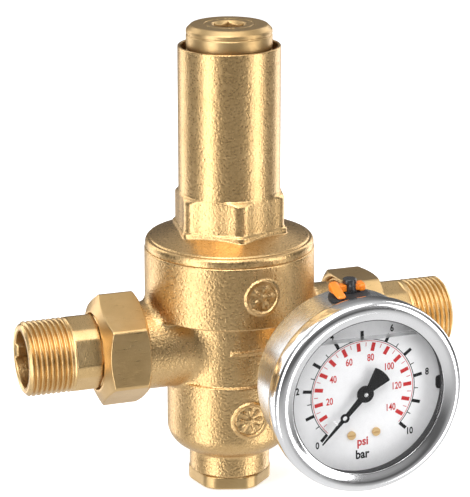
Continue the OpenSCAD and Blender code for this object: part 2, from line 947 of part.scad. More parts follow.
// Shape drawn with +Z out of the case at the vent and -Y towards the reader, put in its place.
module at_vent() {
    at_gauge()
        translate([0, 0, vent_w])
            rotate([-90, 0, 0])
                children();
}

module vent_post() {
    color([0.1, 0.1, 0.11])
        at_vent()
            difference() {
                rod(vent_post_r, case_r - 2, vent_post_top);
                translate([-5, -lever_half - gap, lever_z[0] - gap])
                    cube([10, 2 * (lever_half + gap), lever_z[1] - lever_z[0] + 2 * gap]);
            }
}

module vent_lever() {
    bar_t = lever_z[1] - lever_z[0];
    low = case_r + vent_pad_t + 0.15;
    color([1, 0.5, 0.05])
        at_vent() {
            translate([lever_ends[0], -lever_half, lever_z[0]])
                cube([lever_ends[1] - lever_ends[0], 2 * lever_half, bar_t]);
            translate([lever_ends[0] + paddle.x, 0, 0])
                rotate([0, -90, 0])
                    linear_extrude(paddle.x)
                        polygon([[lever_z[0], lever_half], [low, -paddle.y], [low + 1.6, -paddle.y],
                                 [lever_z[1] + 0.5, lever_half]]);
            translate([lever_ends[1] - tab.x, -tab.y, low + 0.1])
                cube([tab.x, 2 * tab.y, bar_t]);
        }
}

body();
bonnet();
adjusting_screw();
upper_spring_seat();
spring();
diaphragm_upper_plate();
slip_ring();
diaphragm();
diaphragm_lower_plate();
stem();
stem_nut();
stem_o_ring();
seat_ring();
seat_o_ring();
obturator();
obturator_seal();
obturator_nut();
piston_o_ring();
strainer();
bottom_plug();
bottom_plug_o_ring();
inlet_gasket();
inlet_nut();
inlet_tailpiece();
outlet_gasket();
outlet_nut();
outlet_tailpiece();
gauge_socket();
gauge_case();
bezel_ring();
window();
window_seal();
dial();
dial_screws();
pointer();
pinion_shaft();
sector_gear();
link();
tube_tip();
bourdon_tube();
back_plate();
front_plate();
plate_pillars();
hairspring();
vent_grommet();
vent_post();
vent_lever();
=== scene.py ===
"""Looks of the pressure reducing valve: cast brass body, threaded union ends and a pressure gauge.

Shapes are worked out in millimetres about the crossing of the flow axis and the spindle axis,
with +X along the flow and +Z up the spindle, and are moved into the row frame in metres at the end.
"""
import math

import bpy
import numpy as np
from mathutils import Matrix, Vector


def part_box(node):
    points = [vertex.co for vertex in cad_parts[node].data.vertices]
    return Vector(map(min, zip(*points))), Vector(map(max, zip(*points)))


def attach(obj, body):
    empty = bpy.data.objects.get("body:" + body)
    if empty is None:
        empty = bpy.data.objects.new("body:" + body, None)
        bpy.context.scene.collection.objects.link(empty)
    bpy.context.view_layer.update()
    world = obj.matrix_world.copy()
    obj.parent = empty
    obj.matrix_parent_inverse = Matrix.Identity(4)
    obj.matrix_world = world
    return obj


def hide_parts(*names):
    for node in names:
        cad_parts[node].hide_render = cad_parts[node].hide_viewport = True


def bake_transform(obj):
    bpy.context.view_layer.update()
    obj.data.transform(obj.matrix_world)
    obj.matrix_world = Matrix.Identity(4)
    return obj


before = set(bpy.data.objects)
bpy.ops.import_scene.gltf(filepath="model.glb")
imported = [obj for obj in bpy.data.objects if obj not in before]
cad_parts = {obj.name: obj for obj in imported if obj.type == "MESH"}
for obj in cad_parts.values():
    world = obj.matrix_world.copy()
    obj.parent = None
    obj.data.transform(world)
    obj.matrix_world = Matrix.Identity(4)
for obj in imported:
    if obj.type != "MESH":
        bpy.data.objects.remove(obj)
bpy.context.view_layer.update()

MM = 0.001
TAU = 2 * math.pi


def centre_mm(node):
    lo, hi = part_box(node)
    return [(a + b) / 2 / MM for a, b in zip(lo, hi)]


# ---- places and sizes that come from the frame, in mm ----
SPINDLE_X = centre_mm("bonnet")[0]
BEZEL = centre_mm("bezel_ring")
GAUGE_AT = (BEZEL[0], 0.0, BEZEL[2])
HALF_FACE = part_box("outlet_tailpiece")[1][0] / MM / 2
SPINDLE_OFFSET = HALF_FACE - SPINDLE_X
TOP_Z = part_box("adjusting_screw")[1][2] / MM
BONNET_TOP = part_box("bonnet")[1][2] / MM
PLUG_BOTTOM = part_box("bottom_plug")[0][2] / MM
CASE_BACK = -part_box("gauge_case")[1][1] / MM
CASE_FRONT = -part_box("gauge_case")[0][1] / MM
BEZEL_FRONT = -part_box("bezel_ring")[0][1] / MM
DIAL_FRONT = 65.6
GAUGE_ROLL = math.radians(1.9)


# ---------------------------------------------------------------- meshes

def new_object(name, verts_mm, faces, material, smooth=True, normals=None):
    """Mesh object from points in mm about the spindle; the row frame starts at the inlet face."""
    points = (np.asarray(verts_mm, float) + (SPINDLE_X, 0, 0)) * MM
    mesh = bpy.data.meshes.new(name)
    mesh.from_pydata(points.tolist(), [], [list(map(int, f)) for f in faces])
    mesh.validate()
    mesh.update()
    mesh.polygons.foreach_set("use_smooth", [smooth] * len(mesh.polygons))
    if normals is not None and len(normals) == len(mesh.vertices):
        mesh.normals_split_custom_set_from_vertices(np.asarray(normals, float).tolist())
    obj = bpy.data.objects.new(name, mesh)
    bpy.context.scene.collection.objects.link(obj)
    mesh.materials.append(material)
    return obj


def grid_faces(rows, cols, wrap_rows=False, wrap_cols=True):
    """Quads of a grid of points whose index is row * cols + col."""
    out = []
    for i in range(rows if wrap_rows else rows - 1):
        for j in range(cols if wrap_cols else cols - 1):
            a, b = i * cols, ((i + 1) % rows) * cols
            k = (j + 1) % cols
            out.append((a + j, a + k, b + k, b + j))
    return out


def smooth_corners(profile, radius, steps=3):
    """Rounds every corner of a closed outline of (x, y) points by about radius."""
    pts = np.asarray(profile, float)
    out = []
    count = len(pts)
    for i in range(count):
        p, q, r = pts[i - 1], pts[i], pts[(i + 1) % count]
        a, b = p - q, r - q
        la, lb = np.linalg.norm(a), np.linalg.norm(b)
        cut = min(radius, la * 0.45, lb * 0.45)
        start, end = q + a / la * cut, q + b / lb * cut
        for t in np.linspace(0, 1, steps + 1):
            out.append((1 - t) ** 2 * start + 2 * t * (1 - t) * q + t * t * end)
    return out


def lathe_points(profile, turns=128):
    """Points of a closed outline of (radius, along) turned about +Z."""
    angle = np.arange(turns) * TAU / turns
    pts = np.asarray(profile, float)
    ring = np.stack([np.cos(angle), np.sin(angle)], 1)
    xyz = np.empty((len(pts), turns, 3))
    xyz[..., 0] = pts[:, :1] * ring[:, 0]
    xyz[..., 1] = pts[:, :1] * ring[:, 1]
    xyz[..., 2] = pts[:, 1:2]
    return xyz.reshape(-1, 3), grid_faces(len(pts), turns, wrap_rows=True)


# ---------------------------------------------------------------- solids as distance fields

def box_grid(lo, hi, step):
    axes = [np.arange(a, b + step, step, dtype=np.float32) for a, b in zip(lo, hi)]
    return axes, np.meshgrid(*axes, indexing="ij", sparse=True)


def smin(a, b, k):
    h = np.clip(0.5 + 0.5 * (b - a) / k, 0, 1)
    return b + (a - b) * h - k * h * (1 - h)


def smax(a, b, k):
    return -smin(-a, -b, k)


def rod(radial, along, r, lo, hi, edge=0.0):
    """Round bar of radius r from lo to hi, with its edges rounded by edge."""
    dr = radial - (r - edge)
    dz = np.abs(along - (lo + hi) / 2) - ((hi - lo) / 2 - edge)
    outside = np.sqrt(np.maximum(dr, 0) ** 2 + np.maximum(dz, 0) ** 2)
    return outside + np.minimum(np.maximum(dr, dz), 0) - edge


def hexagon(x, y, af, corner_deg, soft):
    """Hexagonal bar along the third axis, with a corner at corner_deg and its edges softened."""
    d = None
    for k in range(6):
        a = math.radians(corner_deg + 30 + 60 * k)
        side = x * math.cos(a) + y * math.sin(a) - af / 2
        d = side if d is None else smax(d, side, soft)
    return d


def surface_nets(field, lo, hi, step):
    """Closed quad mesh on the zero level of field(x, y, z), pulled exactly onto it."""
    axes, (x, y, z) = box_grid(lo, hi, step)
    value = np.broadcast_to(field(x, y, z), [len(a) for a in axes]).astype(np.float32)
    inside = value < 0
    shape = np.array(value.shape) - 1
    total = np.zeros((*shape, 3), np.float32)
    count = np.zeros(shape, np.int8)
    crossings = []
    for axis in range(3):
        first = [slice(None)] * 3
        second = [slice(None)] * 3
        first[axis], second[axis] = slice(None, -1), slice(1, None)
        first, second = tuple(first), tuple(second)
        hit = inside[first] != inside[second]
        crossings.append((hit, inside[first]))
        at = np.argwhere(hit)
        v0, v1 = value[first][hit], value[second][hit]
        where = at.astype(np.float32)
        where[:, axis] += v0 / (v0 - v1)
        others = [a for a in range(3) if a != axis]
        for d0 in (0, 1):
            for d1 in (0, 1):
                cell = at.copy()
                cell[:, others[0]] -= d0
                cell[:, others[1]] -= d1
                ok = ((cell >= 0) & (cell < shape)).all(1)
                flat = np.ravel_multi_index(cell[ok].T, shape)
                for c in range(3):
                    np.add.at(total.reshape(-1, 3)[:, c], flat, where[ok][:, c])
                np.add.at(count.reshape(-1), flat, 1)
    used = count > 0
    index = np.full(shape, -1, np.int64)
    index[used] = np.arange(used.sum())
    verts = total[used] / count[used][:, None] * step + np.asarray(lo, np.float32)
    quads = []
    for axis in range(3):
        hit, start_inside = crossings[axis]
        at = np.argwhere(hit)
        o1, o2 = (axis + 1) % 3, (axis + 2) % 3
        ok = (at[:, o1] > 0) & (at[:, o2] > 0) & (at[:, o1] < shape[o1]) & (at[:, o2] < shape[o2])
        flip = ~start_inside[hit][ok]
        at = at[ok]
        ring = []
        for s1, s2 in ((0, 0), (-1, 0), (-1, -1), (0, -1)):
            cell = at.copy()
            cell[:, o1] += s1
            cell[:, o2] += s2
            ring.append(index[tuple(cell.T)])
        quad = np.stack(ring, 1)
        quad[flip] = quad[flip][:, ::-1]
        quads.append(quad)
    verts = verts.astype(float)
    for _ in range(3):
        d, normals = slope(field, verts)
        verts -= np.clip(d, -0.5 * step, 0.5 * step)[:, None] * normals
    return verts, np.concatenate(quads), slope(field, verts)[1]


def slope(field, p, h=0.04):
    """Distance and outward direction of the field at points p."""
    d = field(p[:, 0], p[:, 1], p[:, 2])
    g = np.empty_like(p)
    for c in range(3):
        q = p.copy()
        q[:, c] += h
        ahead = field(q[:, 0], q[:, 1], q[:, 2])
        q[:, c] -= 2 * h
        g[:, c] = (ahead - field(q[:, 0], q[:, 1], q[:, 2])) / (2 * h)
    length = np.maximum(np.linalg.norm(g, axis=1), 1e-6)
    return d / length, g / length[:, None]


# ---------------------------------------------------------------- materials

class Nodes:
    """Short way to write a procedural material."""

    def __init__(self, name):
        self.mat = bpy.data.materials.new(name)
        self.mat.use_nodes = True
        self.tree = self.mat.node_tree
        self.tree.nodes.clear()
        self.out = self.tree.nodes.new("ShaderNodeOutputMaterial")
        self.shader = self.tree.nodes.new("ShaderNodeBsdfPrincipled")
        self.link(self.shader.outputs[0], self.out.inputs[0])
        self.place = self.tree.nodes.new("ShaderNodeTexCoord").outputs["Object"]

    def link(self, a, b):
        self.tree.links.new(a, b)

    def set(self, **sockets):
        for key, value in sockets.items():
            self.shader.inputs[key.replace("_", " ")].default_value = value

    def add(self, kind, inputs=(), **props):
        node = self.tree.nodes.new(kind)
        for key, value in props.items():
            setattr(node, key, value)
        for key, value in dict(inputs).items():
            if hasattr(value, "is_linked"):
                self.link(value, node.inputs[key])
            else:
                node.inputs[key].default_value = value
        return node

    def stretch(self, scale):
        return self.add("ShaderNodeMapping", {"Vector": self.place, "Scale": scale}).outputs[0]

    def noise(self, scale, detail=4.0, rough=0.6, vector=None, distortion=0.0):
        return self.add("ShaderNodeTexNoise", {
            "Vector": vector or self.place, "Scale": scale, "Detail": detail,
            "Roughness": rough, "Distortion": distortion}).outputs[0]

    def cells(self, scale, vector=None):
        return self.add("ShaderNodeTexVoronoi", {
            "Vector": vector or self.place, "Scale": scale}).outputs[0]

    def ramp(self, value, stops):
        node = self.add("ShaderNodeValToRGB", {0: value})
        marks = node.color_ramp.elements
        while len(marks) < len(stops):
            marks.new(0.5)
        for mark, (at, colour) in zip(marks, stops):
            mark.position = at
            mark.color = (*colour, 1)
        return node.outputs[0]

    def span(self, value, lo, hi, start=0.0, end=1.0):
        return self.add("ShaderNodeMapRange", {
            "Value": value, "From Min": start, "From Max": end, "To Min": lo, "To Max": hi}).outputs[0]

    def maths(self, operation, a, b):
        return self.add("ShaderNodeMath", {0: a, 1: b}, operation=operation).outputs[0]

    def mix(self, factor, a, b):
        node = self.add("ShaderNodeMix", {"Factor": factor}, data_type="RGBA")
        for key, value in ((6, a), (7, b)):
            if hasattr(value, "is_linked"):
                self.link(value, node.inputs[key])
            else:
                node.inputs[key].default_value = (*value, 1)
        return node.outputs[2]

    def bump(self, height, distance, strength=1.0, under=None):
        inputs = {"Height": height, "Distance": distance, "Strength": strength}
        if under is not None:
            inputs["Normal"] = under
        return self.add("ShaderNodeBump", inputs).outputs[0]

    def paint(self, colour=None, rough=None, normal=None):
        for key, value in (("Base Color", colour), ("Roughness", rough), ("Normal", normal)):
            if value is not None:
                self.link(value, self.shader.inputs[key])


def cast_brass(name, shot_depth):
    """Shot-blasted casting whose dimples are about shot_depth deep, in metres."""
    m = Nodes(name)
    m.set(Metallic=1.0)
    grain = m.noise(1300, 2, 0.6)
    blot = m.noise(90, 5, 0.6)
    pits = m.cells(1200)
    colour = m.ramp(m.maths("ADD", m.maths("MULTIPLY", grain, 0.6), m.maths("MULTIPLY", blot, 0.4)), [
        (0.22, (0.52, 0.330, 0.142)), (0.50, (0.66, 0.438, 0.200)), (0.78, (0.78, 0.545, 0.280))])
    rough = m.span(grain, 0.25, 0.36, 0.3, 0.7)
    shot = m.bump(grain, shot_depth)
    dimple = m.bump(pits, shot_depth * 0.4, 0.8, shot)
    m.paint(colour, rough, m.bump(blot, 0.00008, 0.3, dimple))
    return m.mat


def forged_brass():
    m = Nodes("forged_brass")
    m.set(Metallic=1.0)
    brushed = m.noise(260, 6, 0.65, m.stretch((1, 9, 9)))
    cloud = m.noise(60, 4)
    colour = m.ramp(cloud, [
        (0.30, (0.62, 0.41, 0.18)), (0.55, (0.70, 0.475, 0.22)), (0.75, (0.77, 0.545, 0.275))])
    m.paint(colour, m.span(brushed, 0.26, 0.42, 0.3, 0.7), m.bump(brushed, 0.00006))
    return m.mat


def turned_brass(name, axis_scale, base=0.30, shade=1.0):
    """Machined brass: fine rings across axis_scale's long direction."""
    m = Nodes(name)
    m.set(Metallic=1.0)
    rings = m.noise(700, 3, 0.6, m.stretch(axis_scale))
    cloud = m.noise(80, 4)
    tints = ((0.28, (0.64, 0.42, 0.185)), (0.55, (0.74, 0.51, 0.240)), (0.8, (0.83, 0.60, 0.315)))
    colour = m.ramp(cloud, [(at, tuple(c * shade for c in tint)) for at, tint in tints])
    m.paint(colour, m.span(rings, base - 0.06, base + 0.10, 0.3, 0.7), m.bump(rings, 0.00004))
    return m.mat


def steel(name, tint, rough_lo, rough_hi, scale, depth):
    m = Nodes(name)
    m.set(Metallic=1.0)
    lines = m.noise(420, 4, 0.6, m.stretch(scale))
    smear = m.noise(35, 3)
    dark = tuple(c * 0.9 for c in tint)
    m.paint(m.ramp(smear, [(0.3, dark), (0.7, tint)]), m.span(lines, rough_lo, rough_hi, 0.3, 0.7),
            m.bump(lines, depth))
    return m.mat


def plastic(name, dark, light, rough, scale=900, depth=0.00003, coat=0.0, shine=0.5):
    m = Nodes(name)
    m.set(Coat_Weight=coat, Specular_IOR_Level=shine)
    grain = m.noise(scale, 3)
    cloud = m.noise(60, 3)
    m.paint(m.ramp(cloud, [(0.3, dark), (0.7, light)]), m.span(grain, rough - 0.06, rough + 0.08, 0.3, 0.7),
            m.bump(grain, depth))
    return m.mat


def dial_paint():
    m = Nodes("dial_paint")
    fleck = m.noise(500, 2)
    m.paint(m.ramp(fleck, [(0.3, (0.88, 0.88, 0.89)), (0.7, (0.92, 0.92, 0.93))]),
            m.span(fleck, 0.45, 0.6, 0.3, 0.7), m.bump(fleck, 0.00001))
    return m.mat


def clear(name, tint, alpha, rough):
    """Sheet that is mostly seen through and adds a weak reflection."""
    m = Nodes(name)
    m.set(Metallic=1.0, Alpha=alpha)
    wave = m.noise(20, 2)
    m.paint(m.ramp(wave, [(0.2, tuple(c * 0.96 for c in tint)), (0.8, tint)]),
            m.span(wave, rough, rough + 0.02, 0.3, 0.7))
    return m.mat


BRASS_CAST = cast_brass("cast_brass_body", 0.00019)
BRASS_CAST_FINE = cast_brass("cast_brass_bonnet", 0.00011)
BRASS_FORGED = forged_brass()
BRASS_TURNED_X = turned_brass("turned_brass_x", (9, 1, 1))
BRASS_TURNED_Z = turned_brass("turned_brass_z", (1, 1, 9), 0.38, 0.78)
BRASS_FINE = turned_brass("turned_brass_gauge", (1, 6, 1), 0.34)
STEEL_BRIGHT = steel("bright_steel", (0.93, 0.93, 0.94), 0.11, 0.18, (1, 4, 1), 0.000008)
STEEL_SATIN = steel("satin_steel", (0.66, 0.67, 0.68), 0.22, 0.34, (1, 10, 1), 0.00002)
STEEL_WIRE = steel("wire_steel", (0.40, 0.41, 0.43), 0.28, 0.4, (3, 3, 1), 0.00003)
RUBBER = plastic("black_rubber", (0.012, 0.012, 0.013), (0.03, 0.03, 0.032), 0.6, 700, 0.00006)
FIBRE = plastic("fibre", (0.20, 0.06, 0.03), (0.30, 0.10, 0.05), 0.75, 500, 0.0001)
BLACK = plastic("black_enamel", (0.003, 0.003, 0.004), (0.007, 0.007, 0.008), 0.5, shine=0.12)
BLACK_PLASTIC = plastic("black_plastic", (0.01, 0.01, 0.012), (0.022, 0.022, 0.025), 0.3, coat=0.3)
ORANGE = plastic("orange_plastic", (0.90, 0.20, 0.005), (1.0, 0.27, 0.01), 0.34, coat=0.4)
DIAL_WHITE = dial_paint()
INK_BLACK = plastic("ink_black", (0.004, 0.004, 0.005), (0.008, 0.008, 0.009), 0.6, shine=0.1)
INK_RED = plastic("ink_red", (0.50, 0.02, 0.025), (0.60, 0.035, 0.035), 0.6, shine=0.1)
GLASS = clear("clear_glass", (1, 1, 1), 0.02, 0.0)
LIQUID = clear("gauge_liquid", (0.75, 0.76, 0.76), 0.45, 0.3)


# ---------------------------------------------------------------- cast body

HOUSING_R = 30.3
HOUSING_TOP = 34.35
HOUSING_BOTTOM = 11.6
NECK_R = 21.7
BOWL_R = 22.6
BOWL_TOP = -12.4
BOWL_FLOOR = -41.0
SPIGOT_R = 14.5
PLUG_SEAM = -49.6
ARM_R = 15.4
UNION_R = 16.6
SPIGOT_END = 45.0
NUT_INNER = 37.8
NUT_OUTER = 54.0
DUCT_R = 10.0


def relief_ring(distance, r, width, height):
    """Height of a raised round bead at radius r."""
    return height * np.exp(-((distance - r) / width) ** 2)


def badge_relief(x, y, z, angle_deg, height, wall_r, r, spokes):
    """Plain cast mark on a round wall: a bead with a rosette inside, facing angle_deg off -Y."""
    a = math.radians(angle_deg)
    across = x * math.cos(a) + y * math.sin(a)
    front = x * math.sin(a) - y * math.cos(a)
    dz = z - height
    d = np.sqrt(across ** 2 + dz ** 2)
    turn = np.arctan2(dz, across)
    petals = 0.5 + 0.5 * np.cos(spokes * turn)
    inner = 0.55 * petals ** 2 * np.exp(-((d - 0.52 * r) / (0.24 * r)) ** 2)
    hub = relief_ring(d, 0, 0.17 * r, 0.6)
    h = relief_ring(d, r, 0.55, 0.75) + inner + hub
    return np.where(front > 0.5 * wall_r, h, 0)


def arrow_relief(x, y, z):
    """Plain flow arrow along +X on the front of the neck."""
    front = -y
    shaft = np.maximum(np.abs(z - 0.5) - 0.55, np.maximum(x - 7.5, -6.5 - x))
    head = np.maximum(np.abs(z - 0.5) * 0.9 + (x - 12.5) * 0.55, 7.0 - x)
    d = np.minimum(shaft, head)
    return np.where(front > 10, 0.6 * np.clip(0.5 - d / 0.7, 0, 1), 0)


def body_field(x, y, z):
    radial = np.sqrt(x ** 2 + y ** 2)
    arm = np.sqrt(y ** 2 + z ** 2)
    out = np.abs(x - SPINDLE_OFFSET)
    port_z = z - GAUGE_AT[2]
    port = np.sqrt((x - GAUGE_AT[0] + SPINDLE_X) ** 2 + port_z ** 2)
    housing = rod(radial, z, HOUSING_R, HOUSING_BOTTOM, HOUSING_TOP, 0.7)
    neck = rod(radial, z, NECK_R, BOWL_TOP - 4, HOUSING_BOTTOM + 4)
    bowl = rod(radial, z, BOWL_R, BOWL_FLOOR, BOWL_TOP, 0.5)
    bowl = smax(bowl, rod(radial, z, BOWL_R, BOWL_FLOOR, 20, 9.0), 0.3)
    spigot = rod(radial, z, SPIGOT_R, PLUG_SEAM, BOWL_FLOOR + 8, 0.5)
    arms = rod(arm, out, ARM_R, -1, NUT_INNER + 1.5, 0.6)
    trunk = smin(smin(housing, arms, 3.6), smin(neck, arms, 3.0), 0.8)
    trunk = smin(trunk, smin(bowl, spigot, 1.6), 0.8)
    trunk = smin(trunk, rod(port, -y, 9.5, 0, 27, 0.5), 3.0)
    trunk = trunk - badge_relief(x, y, z, 3, 23.5, HOUSING_R, 5.9, 5)
    trunk = trunk - badge_relief(x, y, z, 0, -24.5, BOWL_R, 6.1, 8)
    trunk = trunk - arrow_relief(x, y, z)
    solid = np.minimum(trunk, rod(arm, out, UNION_R, NUT_INNER + 1.2, SPIGOT_END, 0.5))
    return np.maximum(solid, -hollow_field(x, y, z, radial, arm, port))


def hollow_field(x, y, z, radial, arm, port):
    """The water way and chambers inside the body."""
    far = 60
    cuts = [
        rod(radial, z, 26.55, 20, far),
        rod(radial, z, 20.5, 14, 21),
        rod(radial, z, 13, 2, 9.5),
        rod(radial, z, 4.05, 9, 15),
        rod(radial, z, 11.05, -3, 3),
        rod(radial, z, 18.5, -36, -2),
        rod(radial, z, 12.45, -60, -35),
        rod(arm, -x, DUCT_R, 16, far),
        rod(arm, x, DUCT_R, 22, far),
        rod(port, -y, 6.6, 15.5, far),
        rod(port, -y, 2.5, 0, 20),
    ]
    side = np.maximum(np.abs(y) - 9, np.abs(x - 12) - 12)
    cuts.append(np.maximum(side, np.abs(z - 5.75) - 3.75))
    d = cuts[0]
    for other in cuts[1:]:
        d = np.minimum(d, other)
    return d


def field_object(name, field, lo, hi, step, material):
    verts, quads, normals = surface_nets(field, lo, hi, step)
    return new_object(name, verts, quads, material, normals=normals)


def make_body():
    step = 0.5
    obj = field_object("cast_body", body_field, (-45, -32.5, -51), (51, 32.5, 36), step, BRASS_CAST)
    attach(obj, "valve")
    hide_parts("body")


# ---------------------------------------------------------------- bonnet

BONNET_R = 18.0
HEX_BOTTOM = 40.5
HEX_TOP = 54.6
BONNET_AF = 36.0
BONNET_CORNER_DEG = -97.0
HEX_LIP_AF = 37.3
HEX_LIP_TOP = 42.3
FLANGE_EDGE_Z = 37.3


def bonnet_field(x, y, z):
    radial = np.sqrt(x ** 2 + y ** 2)
    tube = rod(radial, z, BONNET_R, 36, BONNET_TOP, 0.35)
    bar = hexagon(x, y, BONNET_AF, BONNET_CORNER_DEG, 2.6)
    bar = smax(bar, np.abs(z - (HEX_BOTTOM + HEX_TOP) / 2 + 1) - (HEX_TOP - HEX_BOTTOM) / 2 - 1, 1.0)
    bar = smax(bar, (radial - BONNET_R - 0.6 + z - HEX_TOP) * 0.707, 0.5)
    lip = hexagon(x, y, HEX_LIP_AF, BONNET_CORNER_DEG, 1.4)
    lip = smax(lip, np.abs(z - (HEX_BOTTOM + HEX_LIP_TOP) / 2) - (HEX_LIP_TOP - HEX_BOTTOM) / 2, 0.5)
    bar = smin(bar, lip, 1.3)
    slope_up = 0.355
    cone = (z - FLANGE_EDGE_Z - (30 - radial) * slope_up) * 0.92
    flange = smax(smax(cone, radial - 30, 1.4), HOUSING_TOP - z, 0.3)
    groove = np.sqrt((radial - 28.6) ** 2 + (z - FLANGE_EDGE_Z - 1.4 * slope_up - 0.1) ** 2) - 0.38
    flange = smax(flange, -groove, 0.3)
    d = smin(smin(tube, bar, 0.8), flange, 0.5)
    d = np.minimum(d, rod(radial, z, 26.5, 23.05, HOUSING_TOP + 0.5))
    inner = np.minimum(rod(radial, z, 21.2, 0, 34.35), rod(radial, z, 15.1, 30, 130))
    funnel = np.maximum(np.maximum((radial - 15.1 - (43.5 - z) * 0.667) * 0.83, 33.5 - z), z - 43.5)
    inner = np.minimum(np.minimum(inner, funnel), rod(radial, z, 16.9, 98, 130))
    return np.maximum(d, -inner)


def make_bonnet():
    step = 0.45
    obj = field_object("cast_bonnet", bonnet_field, (-31, -31, 22), (31, 31, 108), step,
                       BRASS_CAST_FINE)
    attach(obj, "valve")
    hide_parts("bonnet")


# ---------------------------------------------------------------- adjusting screw and bottom plug

def screw_field(x, y, z):
    radial = np.sqrt(x ** 2 + y ** 2)
    d = rod(radial, z, 15.05, 86.05, TOP_Z, 0.3)
    d = smax(d, (radial - 13.3 + z - TOP_Z) * 0.707, 0.35)
    for height, depth in ((TOP_Z - 3.3, 0.28), (TOP_Z - 8.4, 0.25)):
        d = smax(d, depth - np.sqrt((radial - 15.05) ** 2 + (z - height) ** 2), 0.2)
    socket = np.maximum(hexagon(x, y, 10.2, 14, 0.2), TOP_Z - 8 - z)
    sink = (radial - 5.5 - (z - TOP_Z + 0.8)) * 0.707
    ring_line = np.sqrt((radial - 8.6) ** 2 + (z - TOP_Z) ** 2) - 0.22
    d = smax(smax(d, -socket, 0.15), -sink, 0.15)
    return smax(smax(d, -ring_line, 0.1), -rod(radial, z, 12.05, 80, 99), 0.2)


def plug_field(x, y, z):
    radial = np.sqrt(x ** 2 + y ** 2)
    bar = hexagon(x, y, 27.7, 42, 0.8)
    ends = np.abs(z - (PLUG_BOTTOM + PLUG_SEAM) / 2) + (PLUG_BOTTOM - PLUG_SEAM) / 2
    head = smax(smax(bar, radial - 14.85, 0.5), ends, 0.7)
    stub = np.minimum(rod(radial, z, 12.4, PLUG_SEAM - 1, -38, 0.2), rod(radial, z, 10.9, -39, -20, 0.2))
    groove = np.maximum(11.0 - radial, np.abs(z + 39.5) - 0.8)
    stub = np.maximum(stub, -groove)
    return np.maximum(np.minimum(head, stub), -rod(radial, z, 8.65, -46.5, -10))


def make_screw_and_plug():
    step = 0.36
    obj = field_object("adjusting_screw_turned", screw_field, (-16, -16, 85), (16, 16, 115), step,
                       BRASS_TURNED_Z)
    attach(obj, "screw")
    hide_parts("adjusting_screw")
    obj = field_object("bottom_plug_turned", plug_field, (-16, -16, -55.5), (16, 16, -19), step,
                       BRASS_TURNED_Z)
    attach(obj, "valve")
    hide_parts("bottom_plug")


# ---------------------------------------------------------------- union ends

THREAD_R = 13.22
THREAD_PITCH = 1.814
THREAD_DEPTH = 1.16
THREAD_LENGTH = 17.0
FLATS_START = 53.5
TAIL_AF = 24.75
NUT_AF = 35.6
NUT_INNER_FACE_R = 18.3
NUT_OUTER_FACE_R = 14.2
NUT_CORNER_DEG = {-1: 4.6, 1: 27.0}


def along_arm(points, side):
    """Points drawn with +Z outwards along an arm, turned to lie along the inlet's or the outlet's arm.

    Their +X becomes down for the outlet and up for the inlet, and +Y stays +Y."""
    x, y, z = points[:, 0], points[:, 1], points[:, 2]
    return np.stack([SPINDLE_OFFSET + side * z, y, -side * x], 1)


def make_nut(side, name, node, body):
    def nut_field(x, y, z):
        radial = np.sqrt(x ** 2 + y ** 2)
        d = hexagon(x, y, NUT_AF, NUT_CORNER_DEG[side], 0.9)
        d = smax(d, np.abs(z - (NUT_INNER + NUT_OUTER) / 2) - (NUT_OUTER - NUT_INNER) / 2, 0.3)
        d = smax(d, (radial - NUT_INNER_FACE_R) * 0.5 - (z - NUT_INNER) * 0.866, 0.35)
        d = smax(d, (radial - NUT_OUTER_FACE_R) * 0.413 + (z - NUT_OUTER) * 0.911, 0.3)
        thread = rod(radial, z, 16.65, NUT_INNER - 5, 50)
        lip = (radial - 17.2 - (NUT_INNER - z) * 0.9) * 0.74
        hole = rod(radial, z, 13.6, 45, 60)
        d = np.maximum(d, -np.minimum(thread, np.maximum(lip, z - NUT_INNER - 1)))
        return smax(d, -hole, 0.25)

    step = 0.4
    verts, quads, normals = surface_nets(nut_field, (-21.5, -21.5, NUT_INNER - 1),
                                         (21.5, 21.5, NUT_OUTER + 1), step)
    normals = along_arm(normals, side) - (SPINDLE_OFFSET, 0, 0)
    obj = new_object(name, along_arm(verts, side), quads, BRASS_FORGED, normals=normals)
    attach(obj, body)
    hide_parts(node)


def thread_radius(angle, along):
    """Radius of the right-hand pipe thread's surface, with rounded crests and roots."""
    phase = (along / THREAD_PITCH - angle / TAU) % 1.0
    wave = np.abs(2 * phase - 1)
    form = np.clip((wave - 0.12) / 0.70, 0, 1)
    form = form * form * (3 - 2 * form) * 0.35 + form * 0.65
    start = HALF_FACE - THREAD_LENGTH
    runout = np.clip((along - start - 0.4) / 1.6, 0, 1)
    return THREAD_R - THREAD_DEPTH * (1 - form) * runout


